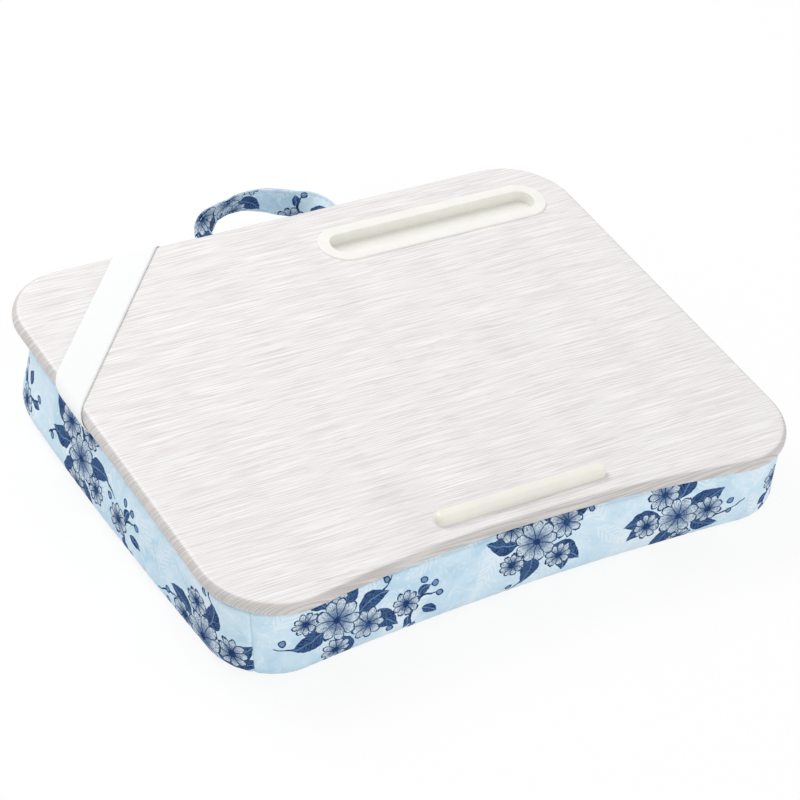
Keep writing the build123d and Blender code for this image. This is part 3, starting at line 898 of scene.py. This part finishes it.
def gathers(turns, count, sway_count, sway, swell_count, phase):
    """Small gathers round the cushion, about count of them, that wander, swell and die down."""
    ripple = np.sin(turns * count + sway * np.sin(turns * sway_count))
    return ripple * (0.6 + 0.4 * np.sin(turns * swell_count + phase))


def sewn_relief(lengths, drops, seams):
    """Height of the sewing's small relief on each point: seam valleys, puckers and soft slack."""
    total = lengths[-1]
    along, drop = lengths[:-1][None, :], drops[:, None]
    gap = np.min([np.abs((along - lengths[seam] + total / 2) % total - total / 2) for seam in seams], axis=0)
    turns = tau * along / total
    below_hem = drop - drops[(hem_rows + rim_rows // 2) * row_refine]
    above_base = drops[base_seam_row()] - drop
    relief = -seam_depth * bell(gap, seam_width) - base_seam_depth * bell(above_base, seam_width)
    tug = np.sin(drop / tug_pitch + 1.3 * np.sin(drop / tug_sway_pitch) + along * 40)
    relief = relief + tug_height * tug * np.exp(-gap / tug_reach) * (1 - bell(gap, 2 * seam_width))
    pucker = gathers(turns, 131, 17, 2.0, 23, 1) * np.exp(-np.abs(below_hem) / hem_gather_reach)
    gather = gathers(turns, 173, 11, 2.3, 29, 0) * np.exp(-np.abs(above_base) / base_gather_reach)
    relief = relief + hem_gather_height * pucker + base_gather_height * gather
    side = np.clip(below_hem / slack_hem_run, 0, 1) * np.clip(above_base / slack_base_run, 0, 1)
    slack = np.sin(turns * 9 + 0.8) * np.sin(drop / slack_pitch)
    slack = slack + 0.7 * np.sin(turns * 21 + drop / slack_ripple_pitch)
    return relief + slack_height * slack * side


def shell(name, outer, normals, material, flat):
    """A sheet with thickness: the outer grid, a copy moved in along its normals, and its edges."""
    rows, columns, _ = outer.shape
    inner = outer - normals * cover_thickness
    count = rows * columns
    top = grid_faces(rows, columns, closed=False)
    index = np.arange(count).reshape(rows, columns)
    rim = np.concatenate((index[0], index[1:, -1], index[-1, -2::-1], index[-2::-1, 0]))
    edge = np.stack((rim[:-1], rim[1:], rim[1:] + count, rim[:-1] + count), axis=1)
    faces = np.concatenate((top, top[:, ::-1] + count, edge))
    places = np.concatenate((outer.reshape(-1, 3), inner.reshape(-1, 3)))
    uvs = np.tile(flat.reshape(-1, 2), (2, 1))[faces.ravel()]
    return mesh_object(name, places, faces, material, uvs)


def make_cushion(cloth):
    """The cushion: four side strips and a base panel of the sewn cover, and the filling below its lining."""
    grid = cushion_grid(column_refine, row_refine)
    shift = between(settled_shift(), column_refine, 1, True)
    grid = grid + between(shift, row_refine, 0, False)
    seams = seam_columns()
    seam_row = base_seam_row()
    middle = grid[(hem_rows + rim_rows + side_rows // 2) * row_refine]
    steps = np.linalg.norm(np.roll(middle, -1, 0) - middle, axis=1)
    falls = np.linalg.norm(np.diff(grid, axis=0), axis=2).mean(axis=1)
    lengths = np.append(0.0, np.cumsum(steps))
    drops = np.append(0.0, np.cumsum(falls))
    grid = grid + grid_normals(grid) * sewn_relief(lengths, drops, seams)[..., None]
    grid[..., 2] = np.maximum(grid[..., 2] - hem_dips(grid), 0.0)
    normals = grid_normals(grid)
    starts = [seams[-1] - len(middle)] + seams[:-1]
    for name, start, finish, cut in zip(("front", "right", "back", "left"), starts, seams, strip_shifts):
        columns = np.arange(start, finish + 1)
        taken = columns % len(middle)
        along = np.where(columns < 0, lengths[taken] - lengths[-1], lengths[taken])
        flat = np.stack(np.meshgrid(along, -drops[: seam_row + 1]), axis=2) + cut
        sheet, facing = (values[: seam_row + 1, taken] for values in (grid, normals))
        strip = shell(f"cushion_{name}_cover", sheet, facing, cloth, flat)
        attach(strip, "tray")
        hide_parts(f"cushion_{name}_strip")
    make_base(grid[seam_row:], normals[seam_row:], cloth)
    make_filling(grid, normals)


def closed_middle(loop, rings):
    """Rings of points from a loop in towards its middle, for a flat panel."""
    centre = loop.mean(axis=0)
    return np.array([centre + (loop - centre) * (1 - share) for share in shares(rings)[1:]])


def make_base(edge, normals, cloth):
    """The cover's base panel, crowned at its edge and flat where it stands."""
    outer = np.concatenate((edge, closed_middle(edge[-1], base_rings)))
    inward = np.zeros_like(outer)
    inward[..., 2] = 1.0
    inward[: len(edge)] = -normals
    inner = outer + inward * cover_thickness
    rows, columns, _ = outer.shape
    count = rows * columns
    quads = grid_faces(rows, columns)
    first = np.arange(columns)
    after = np.roll(first, -1)
    rim = np.stack((after + count, first + count, first, after), axis=1)
    faces = np.concatenate((quads, quads[:, ::-1] + count, rim)).tolist()
    middle = list(range(count - columns, count))
    faces += [middle[::-1], [corner + count for corner in middle]]
    places = np.concatenate((outer.reshape(-1, 3), inner.reshape(-1, 3)))
    uvs = places[np.concatenate(faces), :2] + base_shift
    base = mesh_object("cushion_base_cover", places, faces, cloth, uvs)
    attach(base, "tray")
    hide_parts("cushion_base_panel")


def make_filling(grid, normals):
    """The filling under its lining: the cover's own form, a little smaller."""
    inside = grid - normals * filling_gap
    first = int(np.argmax(inside[..., 2].max(axis=1) < board_under - lining_depth))
    side = inside[first:]
    top = closed_middle(side[0], filling_rings)[::-1]
    form = np.concatenate((top, side, closed_middle(side[-1], filling_rings)))
    form[..., 2] = np.maximum(form[..., 2], filling_gap)
    rows, columns, _ = form.shape
    faces = tube_faces(rows, columns)
    filling = mesh_object("cushion_filling", form.reshape(-1, 3), faces, lining_material())
    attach(filling, "tray")
    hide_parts("cushion_lining", "cushion_fill")


def edge_wrap(distance, layer):
    """How far in from the board's edge a layer lies, and how high, past where the top starts to round."""
    top_reach, base_reach = top_edge_radius + layer, bottom_edge_radius + layer
    if distance < 0:
        return top_edge_radius - distance, board_top + layer
    if distance < wrap_top:
        turn = pi / 2 * distance / wrap_top
        height = board_top - top_edge_radius + top_reach * cos(turn)
        return top_edge_radius - top_reach * sin(turn), height
    distance -= wrap_top
    if distance < wrap_wall:
        return -layer, board_top - top_edge_radius - distance
    distance -= wrap_wall
    if distance < wrap_base:
        turn = pi / 2 * distance / wrap_base
        height = board_under + bottom_edge_radius - base_reach * sin(turn)
        return bottom_edge_radius - base_reach * cos(turn), height
    return bottom_edge_radius + distance - wrap_base, board_under - layer


def wrapped(flat_x, flat_y, layer):
    """A point of the band's flat pattern, laid on the board and round its left and back edges."""
    over_left = board_left + top_edge_radius - flat_x
    over_back = flat_y - (board_back - top_edge_radius)
    if over_left > over_back:
        inward, height = edge_wrap(over_left, layer)
        return (board_left + inward if over_left > 0 else flat_x), flat_y, height
    inward, height = edge_wrap(over_back, layer)
    return flat_x, (board_back - inward if over_back > 0 else flat_y), height


def make_band_half(name, start, heading, outward, material):
    """Half of the elastic band, from the middle of its stretch on the board to its tail's end."""
    across = Vector((-heading.y, heading.x))
    slope = heading.dot(outward)
    edge_distance = abs((Vector((board_left, board_back)) - start).dot(outward))
    reach = edge_distance - top_edge_radius + wrap_top + wrap_wall + wrap_base
    reach += band_tail_reach - bottom_edge_radius
    rows = round(reach / slope / band_step)
    profile = []
    for column in range(band_columns):
        offset = band_width * (column / (band_columns - 1) - 0.5)
        near_edge = max(0.0, min(1.0, (band_width / 2 - abs(offset)) / band_edge_run))
        rise = band_edge_share + (1 - band_edge_share) * sqrt(near_edge)
        profile.append((offset, band_thickness / 2 * rise))
    ring = profile + [(offset, -rise) for offset, rise in reversed(profile)]
    places, flat = [], []
    for row in range(rows + 1):
        for offset, rise in ring:
            length = (reach - offset * across.dot(outward)) / slope * row / rows
            spot = start + heading * length + across * offset
            places.append(wrapped(spot.x, spot.y, band_middle + rise))
            flat.append((length, offset))
    faces = grid_faces(rows + 1, len(ring)).tolist() + tube_caps(rows + 1, len(ring))[1:]
    return mesh_object(name, places, faces, material, np.array(flat)[np.concatenate(faces)])


def make_band():
    """The elastic band in two halves that bend from the tray's edges to the stretch that lifts."""
    side_point = Vector((board_left, board_back - band_along_side))
    back_point = Vector((board_left + band_along_back, board_back))
    middle = (side_point + back_point) / 2
    heading = (back_point - side_point).normalized()
    material = elastic_material()
    ways = (("elastic_band_left", -1, Vector((-1, 0))), ("elastic_band_right", 1, Vector((0, 1))))
    for name, way, outward in ways:
        half = make_band_half(name, middle, heading * way, outward, material)
        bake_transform(half)
    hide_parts("elastic_band", "elastic_band_ends")


def strap_middle():
    """Fine points of the strap's middle line in plan, from one stapled end to the other."""
    left, right = strap_feet
    end_y = strap_fold_y - strap_tail
    corners = (
        (left, end_y),
        (left, board_back + strap_left_reach),
        (strap_x + strap_crown_shift, board_back + strap_crown_reach),
        (right, board_back + strap_right_reach),
        (right, end_y),
    )
    corners = [np.array(corner) for corner in corners]
    radii = (strap_left_radius, strap_crown_radius, strap_right_radius)
    line = [corners[0]]
    for before, corner, after, radius in zip(corners, corners[1:], corners[2:], radii):
        into, out = unit(corner - before), unit(after - corner)
        cut = radius * tan(acos(into @ out) / 2)
        start, finish = corner - into * cut, corner + out * cut
        centre = corner + unit(out - into) * hypot(radius, cut)
        line += [arc_points(centre, start, finish, strap_arc_steps), finish]
    line.append(corners[-1])
    return np.vstack(line)


class Strap:
    """The strap's form: its middle line, and its turn and width along it."""

    def __init__(self):
        line = strap_middle()
        self.along = np.append(0.0, np.cumsum(np.hypot(*np.diff(line, axis=0).T)))
        self.length = self.along[-1]
        self.courses = np.hstack((line, np.gradient(line, self.along, axis=0))).T
        form = np.array(strap_form_shares).T
        self.shares = np.linspace(0, 1, strap_form_steps)
        weights = np.hanning(strap_form_blur) / np.hanning(strap_form_blur).sum()
        self.forms = []
        for values in form[1:]:
            padded = np.pad(np.interp(self.shares, form[0], values), strap_form_blur // 2, mode="edge")
            self.forms.append(np.convolve(padded, weights, mode="valid"))

    def spot(self, along):
        """Middle, way across, way out of the face, width and share of the loop at a length along it."""
        tail = strap_tail - strap_heel
        share = (along - tail) / (self.length - 2 * tail)
        x, y, dx, dy = (np.interp(along, self.along, course) for course in self.courses)
        turn_share, widening = (np.interp(share, self.shares, form) for form in self.forms)
        turn = pi / 2 * turn_share
        width = strap_foot_width + (strap_width - strap_foot_width) * widening
        dx, dy = unit(np.array((dx, dy)))
        heading = np.array((dx, dy, 0.0))
        across = np.array((-dy * cos(turn), dx * cos(turn), sin(turn)))
        return np.array((x, y, strap_fold_z)), across, np.cross(heading, across), width, share


def strap_folds(share, way):
    """How far the cloth stands off its flat face: gathers on the left arm, slanted creases on the right."""
    inside = sin(pi * min(max((share - 0.02) / 0.96, 0.0), 1.0)) ** 0.5
    gather = 0.5 * sin(way * 7.5 + share * 11) + 0.25 * sin(way * 13 - share * 17)
    gather *= bell(share - strap_gather_share, strap_fold_spread)
    slant = 0.85 * sin(share * 56 + way * 4.6) * bell(share - strap_crease_share, strap_fold_spread)
    fine = 0.14 * sin(share * 140 + 2.5 * sin(way * 4)) + 0.1 * sin(way * 21 + share * 40)
    return (gather + slant + fine) * inside * MM


def strap_place(spot, way, side, lift=0.0):
    """A point on the strap's surface: way runs from -1 to 1 across it, and side is 1 or -1."""
    middle, across, out, width, share = spot
    edge = max(0.0, 1 - abs(way)) * width / 2
    puff = min(1.0, edge / strap_edge_run)
    rise = strap_edge_share + (1 - strap_edge_share) * sqrt(puff * (2 - puff))
    rise = rise * strap_thickness / 2 - stitch_dent * bell(edge - stitch_inset, stitch_dent_width)
    calm = min(1.0, edge / strap_calm_run) ** 0.5
    wobble = strap_wobble * sin(share * 57 + way) * sin(pi * min(max(share, 0.0), 1.0))
    offset = strap_folds(share, way) * calm + wobble
    return middle + across * (way * width / 2) + out * (side * (rise + lift) + offset)


def make_handle(cloth):
    """The handle's sewn sleeve from one stapled end to the other, and the stitches along both its edges."""
    strap = Strap()
    ways = np.sin(np.linspace(-pi / 2, pi / 2, strap_columns))
    lengths = np.linspace(0, strap.length, strap_rows)
    ring = [(way, 1) for way in ways] + [(way, -1) for way in ways[::-1]]
    places = [strap_place(spot, way, side) for spot in map(strap.spot, lengths) for way, side in ring]
    flat = [(along, way * strap_width / 2 + (side + 1) * 0.1) for along in lengths for way, side in ring]
    faces = grid_faces(strap_rows, len(ring))[:, ::-1].tolist() + tube_caps(strap_rows, len(ring))
    uvs = np.array(flat)[np.concatenate(faces)] + handle_shift
    sleeve = mesh_object("handle_sleeve", places, faces, cloth, uvs)
    for piece in (sleeve, make_stitches(strap)):
        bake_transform(piece)
    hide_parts("handle_strap", "handle_webbing", "handle_strap_ends")


def make_stitches(strap):
    """Short raised stitches in a row beside each edge of the strap, on both its faces."""
    turns = tau * shares(stitch_sides)
    tube = tube_faces(len(stitch_taper), stitch_sides)
    places, faces = [], []
    for number in range(int(strap.length / stitch_pitch)):
        start = (number + 0.5) * stitch_pitch - stitch_length / 2
        for edge in (-1, 1):
            for side in (-1, 1):
                base = len(places)
                for share, thickness in stitch_taper:
                    spot = strap.spot(start + stitch_length * share)
                    _, across, out, width, _ = spot
                    way = edge * (1 - 2 * stitch_inset / width)
                    centre = strap_place(spot, way, side, stitch_radius * (thickness - stitch_sink_share))
                    for turn in turns:
                        arm = across * cos(turn) + out * sin(turn)
                        places.append(centre + arm * stitch_radius * thickness)
                faces += [[base + corner for corner in face] for face in tube]
    return mesh_object("handle_stitching", places, faces, thread_material())


def dress_frame():
    """Materials of the CAD pieces that no new form replaces."""
    steel = steel_material()
    materials = {
        "top_board": board_core_material(),
        "board_film": board_film_material(),
        "phone_slot_liner": plastic_material("slot_plastic", linear(243, 242, 236), 0.36),
        "device_ledge": plastic_material("ledge_plastic", linear(239, 236, 227), 0.30),
        "ledge_screws": steel,
        "band_staples": steel,
        "handle_staples": steel,
        "hem_staples": steel,
    }
    for node, material in materials.items():
        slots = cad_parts[node].data.materials
        slots.clear()
        slots.append(material)


def make_floor():
    """Pale floor that shows white to the camera and keeps the object's shadow."""
    g = new_material("floor", 0.9)
    g.put("Base Color", linear(250, 250, 250))
    glow = g.node("Emission", white, 1.0)
    blend = g.node("MixShader", g.times(g.seen(), floor_glow), g.shader.outputs[0], glow.outputs[0])
    g.feed(g.tree.nodes["Material Output"].inputs["Surface"], blend.outputs[0])
    corners = [(x * floor_reach, y * floor_reach, 0) for x, y in ((-1, -1), (1, -1), (1, 1), (-1, 1))]
    floor = mesh_object("floor", corners, [(0, 1, 2, 3)], g.owner)


def make_world():
    """White to the camera and in reflections, and a softer even light on the object."""
    world = bpy.data.worlds.new("studio")
    scene.world = world
    g = Graph(world, "Background")
    g.put("Color", white)
    g.put("Strength", g.add(world_light, g.times(g.seen(), 1.0 - world_light)))


def add_area_lamp(name, place, target, size, power):
    data = bpy.data.lights.new(name, "AREA")
    data.shape = "DISK"
    data.size = size
    data.energy = power
    lamp = add_object(name, data)
    lamp.location = place
    lamp.rotation_mode = "QUATERNION"
    lamp.rotation_quaternion = (Vector(target) - Vector(place)).to_track_quat("-Z", "Y")


def make_camera():
    data = bpy.data.cameras.new("camera")
    data.lens = camera_lens
    data.sensor_width = camera_sensor
    data.clip_end = camera_far
    camera = add_object("camera", data)
    turn = Matrix((camera_right, camera_up, camera_right.cross(camera_up))).transposed()
    camera.matrix_world = Matrix.Translation(camera_place) @ turn.to_4x4()
    scene.camera = camera


scene.view_settings.view_transform = "Standard"
make_camera()
dress_frame()
make_band()
printed_cloth = cloth_material()
make_handle(printed_cloth)
make_cushion(printed_cloth)
make_floor()
make_world()
for lamp in lamps:
    add_area_lamp(*lamp)
